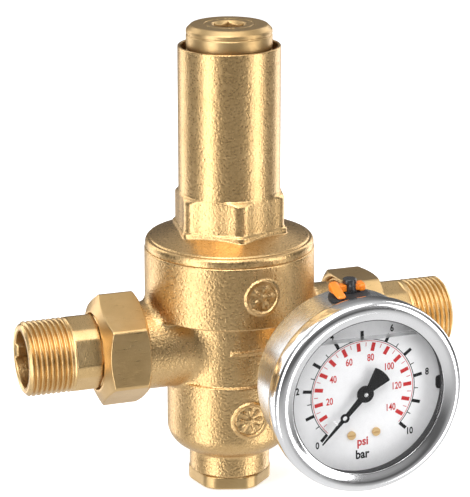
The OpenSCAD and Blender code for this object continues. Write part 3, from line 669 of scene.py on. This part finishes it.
def make_tailpiece(side, name, node):
    turns = 192
    angle = np.arange(turns) * TAU / turns
    rows = []

    def row(radius, along):
        r = np.broadcast_to(radius, (turns,))
        rows.append(np.stack([r * np.cos(angle), r * np.sin(angle), np.full(turns, along)], 1))

    row(DUCT_R, 47.0)
    for r, a in ((15.7, 47.0), (16.0, 47.3), (16.0, 49.4), (15.7, 49.7), (13.3, 49.7), (12.95, 50.0)):
        row(r, a)
    first_flat = math.radians(-side * 17.5 + 30)
    off_flat = (angle - first_flat + TAU / 12) % (TAU / 6) - TAU / 12
    flats = np.minimum(THREAD_R, TAIL_AF / 2 / np.cos(off_flat))
    row(12.95, FLATS_START - 0.1)
    row(np.minimum(flats, 12.95), FLATS_START)
    start = HALF_FACE - THREAD_LENGTH
    for a in np.linspace(FLATS_START + 0.25, start - 0.15, 6):
        row(flats, a)
    row(flats, start)
    row(THREAD_R - 0.05, start + 0.12)
    steps = 170
    for a in np.linspace(start + 0.3, HALF_FACE - 0.02, steps):
        chamfer = THREAD_R - 1.35 + (HALF_FACE - a) * 1.0
        row(np.minimum(thread_radius(angle, a), chamfer), a)
    row(11.6, HALF_FACE)
    row(DUCT_R + 0.35, HALF_FACE)
    from_lug = np.abs(angle % math.pi - math.pi / 2) * DUCT_R
    for a in (*np.linspace(HALF_FACE - 0.35, HALF_FACE - 9, 36), 60.0, 54.0):
        in_length = np.clip(min(a - (HALF_FACE - 4.3), HALF_FACE - 0.6 - a) / 0.35 + 0.5, 0, 1)
        lug = 1.8 * np.clip((2.2 - from_lug) / 0.35 + 0.5, 0, 1) * in_length
        row(DUCT_R - lug, a)
    points = np.concatenate(rows)
    faces = grid_faces(len(rows), turns, wrap_rows=True)
    obj = new_object(name, along_arm(points, side), faces, BRASS_TURNED_X)
    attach(obj, "valve")
    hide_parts(node)


# ---------------------------------------------------------------- gauge

GAUGE_X = GAUGE_AT[0] - SPINDLE_X
GAUGE_Z = GAUGE_AT[2]
BEZEL_R = 34.0
CASE_R = 31.0
WINDOW_R = 27.35
BEZEL_BACK = 62.8


def on_gauge(points):
    """Points (right, up, towards the reader) about the gauge's axis, in mm about the spindle."""
    p = np.asarray(points, float)
    u, v, w = p[:, 0], p[:, 1], p[:, 2]
    c, s = math.cos(GAUGE_ROLL), math.sin(GAUGE_ROLL)
    return np.stack([GAUGE_X + u * c - v * s, -w, GAUGE_Z + u * s + v * c], 1)


def gauge_object(name, points, faces, material, smooth=True):
    return new_object(name, on_gauge(points), faces, material, smooth)


def gauge_lathe(name, profile, material, round_by=0.3, turns=256):
    points, faces = lathe_points(smooth_corners(profile, round_by), turns)
    return gauge_object(name, points, faces, material)


def slab(outlines, low, high):
    """Closed flat pieces from convex or simple outlines of (u, v) points, ccw, joined in one mesh."""
    points, faces = [], []
    for outline in outlines:
        n, at = len(outline), len(points)
        points += [(u, v, low) for u, v in outline] + [(u, v, high) for u, v in outline]
        faces.append([at + n + k for k in range(n)])
        faces.append([at + k for k in reversed(range(n))])
        faces += [(at + k, at + (k + 1) % n, at + n + (k + 1) % n, at + n + k) for k in range(n)]
    return points, faces


def polar(r, deg):
    return r * math.cos(math.radians(deg)), r * math.sin(math.radians(deg))


def tick(deg, r0, r1, width):
    """Outline of a radial bar, ccw."""
    c, s = math.cos(math.radians(deg)), math.sin(math.radians(deg))
    h = width / 2
    return [(r * c - t * s, r * s + t * c) for r, t in ((r0, -h), (r1, -h), (r1, h), (r0, h))]


def ring_band(r0, r1, from_deg, to_deg, low, high, steps=120):
    """One closed curved bar of a dial's arc."""
    marks = np.linspace(from_deg, to_deg, steps + 1)
    points, faces = [], []
    for a in marks:
        for r, w in ((r0, low), (r1, low), (r1, high), (r0, high)):
            points.append((*polar(r, a), w))
    for i in range(steps):
        for k in range(4):
            a, b = i * 4 + k, i * 4 + (k + 1) % 4
            faces.append((a, b, b + 4, a + 4))
    faces += [(3, 2, 1, 0), tuple(steps * 4 + k for k in range(4))]
    return points, faces


def join(*parts):
    points, faces = [], []
    for p, f in parts:
        at = len(points)
        points += [tuple(q) for q in p]
        faces += [[at + k for k in face] for face in f]
    return points, faces


def figures(text, u, v, size, low, high, squeeze=0.78, weight=0.0, turn_deg=0.0):
    """Closed flat letters centred on (u, v)."""
    curve = bpy.data.curves.new("figures", "FONT")
    curve.body = text
    curve.size = size
    curve.align_x, curve.align_y = "CENTER", "CENTER"
    curve.extrude = (high - low) / 2
    curve.offset = weight
    curve.resolution_u = 3
    holder = bpy.data.objects.new("figures", curve)
    mesh = holder.to_mesh()
    turn = math.radians(turn_deg)
    c, s = math.cos(turn), math.sin(turn)
    points = []
    for vert in mesh.vertices:
        x, y, z = vert.co.x * squeeze, vert.co.y, vert.co.z
        points.append((u + x * c - y * s, v + x * s + y * c, (low + high) / 2 + z))
    faces = [list(p.vertices) for p in mesh.polygons]
    holder.to_mesh_clear()
    bpy.data.objects.remove(holder)
    bpy.data.curves.remove(curve)
    return points, faces


ZERO_DEG = 225.0
SWEEP_DEG = 270.0
BAR_SPAN = 10
PSI_SPAN = 145.04


def bar_deg(value):
    return ZERO_DEG - SWEEP_DEG * value / BAR_SPAN


def psi_deg(value):
    return ZERO_DEG - SWEEP_DEG * value / PSI_SPAN


def print_piece(name, part, material):
    obj = gauge_object(name, *part, material, smooth=False)
    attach(obj, "valve")


def make_dial_print():
    low, high = DIAL_FRONT - 0.01, DIAL_FRONT + 0.03
    tick_r, figure_r = 18.8, 23.9
    ticks = [tick(bar_deg(k), tick_r, 21.95, 1.15) for k in range(BAR_SPAN + 1)]
    ticks += [tick(bar_deg(k + 0.5), tick_r, 20.3, 0.32) for k in range(BAR_SPAN)]
    parts = [slab(ticks, low, high), ring_band(18.7, 18.98, bar_deg(0), bar_deg(BAR_SPAN), low, high)]
    for k in range(0, BAR_SPAN + 1, 2):
        parts.append(figures(str(k), *polar(figure_r, bar_deg(k)), 3.4, low, high, 0.78, 0.10))
    parts.append(figures("bar", -0.6, -22.6, 4.5, low, high, 0.84, 0.13))
    print_piece("dial_print_black", join(*parts), INK_BLACK)
    tick_r, figure_r = 17.75, 12.3
    ticks = [tick(psi_deg(k), 14.75, tick_r, 1.35) for k in range(10, 141, 10)]
    ticks += [tick(psi_deg(k + 5), 16.3, tick_r, 0.22) for k in range(0, 140, 10)]
    parts = [slab(ticks, low, high),
             ring_band(18.15, 18.36, psi_deg(0), psi_deg(145), low, high)]
    for k in range(20, 141, 20):
        parts.append(figures(str(k), *polar(figure_r, psi_deg(k)), 3.5, low, high, 0.72, 0.07))
    parts.append(figures("psi", -0.4, -17.9, 4.3, low, high, 0.88, 0.11))
    print_piece("dial_print_red", join(*parts), INK_RED)


def make_pointer():
    """Tapered needle with a ring, and a fan-shaped counterweight, raised about its hub."""
    low, high = 67.6, 68.05
    outline = []
    fan_half, fan_end, neck = 22.0, 9.7, 1.25
    for t in np.linspace(0, 1, 9):
        a = 180 - fan_half + 2 * fan_half * t
        outline.append(polar(fan_end, a))
    shaft = [(-2.2, -neck), (9.5, -0.8), (9.5, 0.8), (-2.2, neck)]
    needle = [(11.9, -0.68), (22.4, -0.16), (22.55, 0), (22.4, 0.16), (11.9, 0.68)]
    fan = smooth_corners([(-2.0, neck), *outline, (-2.0, -neck)], 0.9, 4)
    parts = [slab([outline], low, high) for outline in (shaft, needle, fan)]
    turned = []
    for pts, faces in parts:
        turned.append(([(*rotate2(x, y, ZERO_DEG), w) for x, y, w in pts], faces))
    for pts, faces in (hoop(10.7, 0.85, 1.6, low, high), disc(2.95, low - 0.2, high + 0.25)):
        turned.append(([(*rotate2(x, y, ZERO_DEG), w) for x, y, w in pts], faces))
    obj = gauge_object("pointer_enamelled", *join(*turned), BLACK, smooth=False)
    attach(obj, "pointer_spindle")
    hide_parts("pointer")
    pin = gauge_lathe("pointer_pin", [(0.02, 67.0), (0.42, 67.0), (0.42, 68.6), (0.02, 68.75)],
                      STEEL_BRIGHT, 0.05, 24)
    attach(pin, "pointer_spindle")


def rotate2(x, y, deg):
    c, s = math.cos(math.radians(deg)), math.sin(math.radians(deg))
    return x * c - y * s, x * s + y * c


def hoop(centre_x, r0, r1, low, high, turns=32):
    points, faces = lathe_points([(r0, high), (r0, low), (r1, low), (r1, high)], turns)
    return [(x + centre_x, y, w) for x, y, w in points], faces


def disc(r, low, high, turns=48):
    profile = [(0.01, low), (r, low), (r, high - 0.15), (r - 0.3, high), (0.01, high)]
    points, faces = lathe_points(profile, turns)
    return list(map(tuple, points)), faces


def make_gauge():
    bezel = gauge_lathe("bezel_polished", [
        (31.1, BEZEL_BACK), (32.3, BEZEL_BACK), (33.3, 63.4), (33.9, 65.2), (BEZEL_R, 67.4), (BEZEL_R, 69.6),
        (33.8, 71.0), (33.0, 72.1), (31.6, BEZEL_FRONT), (30.2, 72.5), (29.1, 72.05), (27.75, 71.35),
        (WINDOW_R, 71.2), (WINDOW_R, 70.98), (31.1, 70.98)], STEEL_BRIGHT, 0.5)
    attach(bezel, "valve")
    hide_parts("bezel_ring")
    case = gauge_lathe("case_drawn", [
        (6.1, CASE_BACK), (CASE_R - 0.1, CASE_BACK), (CASE_R, CASE_BACK + 1.2), (CASE_R, CASE_FRONT - 0.3),
        (29.8, CASE_FRONT - 0.3), (29.8, CASE_BACK + 1.3), (6.1, CASE_BACK + 1.2)], STEEL_SATIN, 0.6)
    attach(case, "valve")
    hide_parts("gauge_case")
    lip = gauge_lathe("window_lip", [
        (27.1, 70.97), (27.1, 71.1), (27.36, 71.12), (27.36, 70.97)], RUBBER, 0.04)
    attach(lip, "valve")
    pane = gauge_lathe("window_pane", [(0.01, 69.5), (30.8, 69.5), (30.8, 70.95), (0.01, 70.95)],
                       GLASS, 0.15, 128)
    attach(pane, "valve")
    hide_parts("window")
    outline = [(27.0, -2.6), (28.9, -2.9), (28.9, 2.0), (27.0, 1.6), (26.7, 0.6), (26.7, -1.6)]
    tab = gauge_object("dial_tab", *slab([outline], DIAL_FRONT, DIAL_FRONT + 0.8), BLACK, smooth=False)
    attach(tab, "valve")
    liquid_w = (65.75, 69.4)
    level, half = 19.9, 18.6
    points, faces = slab([[(-half, 0), (half, 0), (half, 0.12), (-half, 0.12)]], 0, 1)
    tilt = -math.sin(GAUGE_ROLL)
    shaped = [(u, level + u * tilt + v, liquid_w[0] + w * (liquid_w[1] - liquid_w[0])) for u, v, w in points]
    liquid = gauge_object("liquid_level", shaped, faces, LIQUID, smooth=False)
    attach(liquid, "valve")
    make_dial_print()
    make_pointer()


# ---------------------------------------------------------------- vent valve

VENT_W = 55.0


def at_vent(points):
    """Points drawn with +Z out of the case at the vent and -Y towards the reader, in gauge coordinates."""
    p = np.asarray(points, float)
    return np.stack([p[:, 0], p[:, 2], VENT_W - p[:, 1]], 1)


def vent_field_object(name, field, lo, hi, step, material, body, node):
    verts, quads, normals = surface_nets(field, lo, hi, step)
    origin = on_gauge(at_vent(np.zeros((1, 3))))
    turned = on_gauge(at_vent(normals)) - origin
    obj = new_object(name, on_gauge(at_vent(verts)), quads, material, normals=turned)
    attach(obj, body)
    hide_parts(node)
    return obj


def block(x, y, z, lo, hi, edge):
    d = [np.abs(a - (p + q) / 2) - (q - p) / 2 + edge for a, p, q in zip((x, y, z), lo, hi)]
    outside = np.sqrt(sum(np.maximum(a, 0) ** 2 for a in d))
    return outside + np.minimum(np.maximum(np.maximum(d[0], d[1]), d[2]), 0) - edge


def post_field(x, y, z):
    radial = np.sqrt(x ** 2 + y ** 2) + (z - 33) * 0.03
    d = rod(radial, z, 2.5, 29.0, 37.4, 0.5)
    return np.maximum(d, -block(x, y, z, (-6, -1.7, 33.1), (6, 1.7, 35.7), 0.05))


def lever_field(x, y, z):
    bar = block(x, y, z, (-7, -1.6, 33.2), (5, 1.6, 35.6), 0.3)
    top = (z - 36.9 - (y - 1.6) * 0.36) * 0.94
    under = (33.6 + (y - 1.6) * 0.105 - z) * 0.99
    sides = np.abs(x + 5.5) - 1.8
    paddle = smax(smax(smax(top, under, 0.6), sides, 1.3), np.abs(y + 2.95) - 4.55, 1.2)
    tail = block(x, y, z, (2.9, -2.2, 32.8), (5.2, 2.2, 35.1), 0.7)
    return smin(smin(bar, paddle, 0.3), tail, 0.3)


def grommet_field(x, y, z):
    radial = np.sqrt(x ** 2 + y ** 2)
    shell = np.sqrt(x ** 2 + z ** 2)
    pad = smax(smax(radial - 7.35, shell - 32.5, 0.9), 31.05 - shell, 0.1)
    collar = smax(radial - 3.9, np.abs(z - 31.4) - 1.1, 0.4)
    neck = np.maximum(radial - 4.0, np.abs(z - 30.2) - 1.7)
    return np.maximum(smin(np.minimum(pad, neck), collar, 0.5), 2.55 - radial)


def make_vent():
    step = 0.3
    vent_field_object("vent_post_moulded", post_field, (-3.2, -3.2, 28.4), (3.2, 3.2, 38), step,
                      BLACK_PLASTIC, "vent_valve", "vent_post")
    vent_field_object("vent_lever_moulded", lever_field, (-8.3, -8.2, 32.0), (5.9, 2.9, 37.8), step,
                      ORANGE, "vent_valve", "vent_lever")
    vent_field_object("vent_grommet_moulded", grommet_field, (-8, -8, 28), (8, 8, 33.6), step,
                      RUBBER, "valve", "vent_grommet")


# ---------------------------------------------------------------- spring and diaphragm

WIRE_R = 1.9
SPRING_R = 11.6
SPRING_COILS = 7


def coil(first, last, low, high):
    """Closed helical bar between two turns of a spring with closed ends that fills low to high."""
    closed = 2 * WIRE_R + 0.1
    pitch = (high - low - 2 * WIRE_R - 2 * closed) / SPRING_COILS
    sides, steps = 20, 56
    turn = np.linspace(first, last, int((last - first) * steps) + 1)
    rise = np.interp(turn, [0, 1, 1 + SPRING_COILS, 2 + SPRING_COILS],
                     [0, closed, closed + pitch * SPRING_COILS, 2 * closed + pitch * SPRING_COILS])
    a = np.arange(sides) * TAU / sides
    r = SPRING_R + WIRE_R * np.cos(a)
    around = turn[:, None] * TAU
    points = np.stack([r * np.cos(around), r * np.sin(around),
                       low + rise[:, None] + WIRE_R * (1 + np.sin(a))], 2).reshape(-1, 3)
    faces = grid_faces(len(turn), sides)
    faces.append(tuple(range(sides - 1, -1, -1)))
    faces.append(tuple((len(turn) - 1) * sides + k for k in range(sides)))
    return points, [f[::-1] for f in faces]


def make_spring():
    low, high = (corner[2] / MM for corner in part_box("spring"))
    middle = (low + high) / 2
    halves = (("main_spring_lower", 0, 4.5, "regulator", "valve", low + 4, middle),
              ("main_spring_upper", 4.5, 9, "valve", "spring_seat", middle, high - 4))
    for name, first, last, under, over, start, end in halves:
        obj = new_object(name, *coil(first, last, low, high), STEEL_WIRE)
        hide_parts("spring")
        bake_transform(obj)


def make_diaphragm():
    """Rubber disc that moves with the stem, inside a rolled rim clamped by the bonnet."""
    low, high = 20.0, 22.0
    hole_r, disc_edge, roll_r, rim_r = 4.35, 16.9, 18.75, 26.4
    across = np.linspace(math.radians(180), 0, 15)
    over = [(roll_r + 2.7 * math.cos(a), low + 1 + 2.7 * math.sin(a)) for a in across]
    under = [(roll_r + 1.6 * math.cos(a), low + 1 + 1.6 * math.sin(a)) for a in across[::-1]]
    rim = [*over, (21.45, high), (rim_r, high), (rim_r, low), (20.9, low), *under,
           (17.15, low + 0.6), (16.05, low + 0.6)]
    foot, top = low + 0.02, high - 0.02
    disc_outline = [(hole_r, foot), (disc_edge, foot), (disc_edge, top), (hole_r, top)]
    parts = (("diaphragm_rim", smooth_corners(rim, 0.25), "valve"),
             ("diaphragm_disc", smooth_corners(disc_outline, 0.4), "regulator"))
    for name, profile, body in parts:
        obj = new_object(name, *lathe_points(profile), RUBBER)
        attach(obj, body)
        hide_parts("diaphragm")


def make_bourdon_tube():
    """The gauge's curved tube with its end piece over the right part of its arc, a copy of the CAD part in
    turned brass.
    """
    obj = bpy.data.objects.new("bourdon_tube_springing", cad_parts["bourdon_tube"].data.copy())
    obj.data.materials.clear()
    obj.data.materials.append(BRASS_FINE)
    bpy.context.scene.collection.objects.link(obj)
    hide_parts("bourdon_tube")
    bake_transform(obj)


# ---------------------------------------------------------------- CAD nodes that stay

def finish_nodes():
    looks = {
        BRASS_FINE: ["slip_ring", "diaphragm_lower_plate", "obturator", "gauge_socket", "dial_screws",
                     "sector_gear", "tube_tip", "back_plate", "front_plate", "plate_pillars"],
        STEEL_SATIN: ["upper_spring_seat", "diaphragm_upper_plate", "stem", "stem_nut", "seat_ring",
                      "obturator_nut", "strainer", "pinion_shaft", "link"],
        STEEL_WIRE: ["hairspring"],
        RUBBER: ["stem_o_ring", "seat_o_ring", "obturator_seal", "piston_o_ring", "bottom_plug_o_ring",
                 "window_seal"],
        FIBRE: ["inlet_gasket", "outlet_gasket"],
        DIAL_WHITE: ["dial"],
    }
    for material, nodes in looks.items():
        for node in nodes:
            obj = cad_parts[node]
            for k in range(max(1, len(obj.material_slots))):
                if not obj.material_slots:
                    obj.data.materials.append(material)
                obj.material_slots[k].material = material


# ---------------------------------------------------------------- studio

CAMERA_AZIMUTH = math.radians(19.474)
CAMERA_ELEVATION = math.radians(17.087)
CAMERA_DISTANCE = 800.0
CAMERA_ASIDE = 2.02
CAMERA_AIM_Z = 32.67
CAMERA_LENS = 162.73


def make_camera():
    forward = Vector((math.sin(CAMERA_AZIMUTH) * math.cos(CAMERA_ELEVATION),
                      math.cos(CAMERA_AZIMUTH) * math.cos(CAMERA_ELEVATION), -math.sin(CAMERA_ELEVATION)))
    right = Vector((math.cos(CAMERA_AZIMUTH), -math.sin(CAMERA_AZIMUTH), 0))
    up = right.cross(forward)
    aim = Vector((SPINDLE_X, 0, CAMERA_AIM_Z)) + right * CAMERA_ASIDE
    place = (aim - forward * CAMERA_DISTANCE) * MM
    camera = bpy.data.objects.new("camera", bpy.data.cameras.new("camera"))
    camera.data.lens = CAMERA_LENS
    camera.data.sensor_width = 36
    camera.data.clip_end = 20
    camera.matrix_world = Matrix((
        (right.x, up.x, -forward.x, place.x),
        (right.y, up.y, -forward.y, place.y),
        (right.z, up.z, -forward.z, place.z),
        (0, 0, 0, 1)))
    bpy.context.scene.collection.objects.link(camera)
    bpy.context.scene.camera = camera


def make_floor():
    z = PLUG_BOTTOM * MM - 0.0005
    size = 3.0
    mesh = bpy.data.meshes.new("floor")
    corners = [(-size, -size, z), (size, -size, z), (size, size, z), (-size, size, z)]
    mesh.from_pydata(corners, [], [(0, 1, 2, 3)])
    floor = bpy.data.objects.new("floor", mesh)
    m = Nodes("floor_paint")
    speck = m.noise(40, 2)
    m.paint(m.ramp(speck, [(0.3, (0.86, 0.86, 0.86)), (0.7, (0.88, 0.88, 0.88))]), m.span(speck, 0.75, 0.85))
    m.set(Emission_Color=(1, 1, 1, 1), Emission_Strength=0.55)
    mesh.materials.append(m.mat)
    bpy.context.scene.collection.objects.link(floor)
    floor.visible_glossy = False
    floor.visible_diffuse = False
    floor.visible_shadow = False


def add_light(name, azimuth, elevation, distance, width, height, power):
    """Soft box that faces the valve from azimuth (0 = in front, + = right) and elevation in degrees."""
    a, e = math.radians(azimuth), math.radians(elevation)
    towards = Vector((math.sin(a) * math.cos(e), -math.cos(a) * math.cos(e), math.sin(e)))
    data = bpy.data.lights.new(name, "AREA")
    data.shape = "RECTANGLE"
    data.size, data.size_y = width, height
    data.energy = power
    light = bpy.data.objects.new(name, data)
    light.location = Vector((SPINDLE_X * MM, 0, 0.03)) + towards * distance
    light.visible_camera = False
    light.rotation_euler = (-towards).to_track_quat("-Z", "Y").to_euler()
    bpy.context.scene.collection.objects.link(light)


def make_world():
    """White to the camera; to the metal, a grey room that is lightest overhead."""
    world = bpy.data.worlds.new("studio")
    world.use_nodes = True
    tree = world.node_tree
    back = tree.nodes["Background"]
    split = tree.nodes.new("ShaderNodeSeparateXYZ")
    height = tree.nodes.new("ShaderNodeMapRange")
    ramp = tree.nodes.new("ShaderNodeValToRGB")
    path = tree.nodes.new("ShaderNodeLightPath")
    seen = tree.nodes.new("ShaderNodeMix")
    seen.data_type = "RGBA"
    tree.links.new(tree.nodes.new("ShaderNodeTexCoord").outputs["Generated"], split.inputs[0])
    tree.links.new(split.outputs["Z"], height.inputs["Value"])
    height.inputs["From Min"].default_value = -1
    tree.links.new(height.outputs[0], ramp.inputs[0])
    marks = ramp.color_ramp.elements
    stops = ((0.0, 0.9), (0.24, 0.72), (0.37, 0.34), (0.46, 0.12), (0.58, 0.10), (1.0, 0.75))
    while len(marks) < len(stops):
        marks.new(0.5)
    for mark, (at, level) in zip(marks, stops):
        mark.position = at
        mark.color = (level, level, level, 1)
    tree.links.new(path.outputs["Is Camera Ray"], seen.inputs["Factor"])
    tree.links.new(ramp.outputs[0], seen.inputs[6])
    seen.inputs[7].default_value = (1, 1, 1, 1)
    tree.links.new(seen.outputs[2], back.inputs[0])
    bpy.context.scene.world = world


def make_studio():
    make_world()
    add_light("strip_left", -66.5, 0, 0.9, 0.36, 1.6, 6.6)
    add_light("strip_right", 45, 0, 0.9, 0.36, 1.6, 5.8)
    add_light("soft_front", -30, 48, 0.9, 0.5, 0.4, 3.2)
    add_light("soft_top", -20, 72, 0.9, 0.9, 0.6, 2.6)
    add_light("strip_back_left", 215, 5, 0.9, 0.4, 1.4, 4)
    add_light("strip_back_right", 120, 5, 0.9, 0.4, 1.4, 4)
    make_floor()
    make_camera()
    view = bpy.context.scene.view_settings
    view.view_transform = "Standard"
    view.look = "None"


make_studio()
make_body()
make_bonnet()
make_screw_and_plug()
make_nut(-1, "inlet_nut_forged", "inlet_nut", "inlet_union")
make_nut(1, "outlet_nut_forged", "outlet_nut", "outlet_union")
make_tailpiece(-1, "inlet_tail_threaded", "inlet_tailpiece")
make_tailpiece(1, "outlet_tail_threaded", "outlet_tailpiece")
make_gauge()
make_vent()
make_spring()
make_diaphragm()
make_bourdon_tube()
finish_nodes()
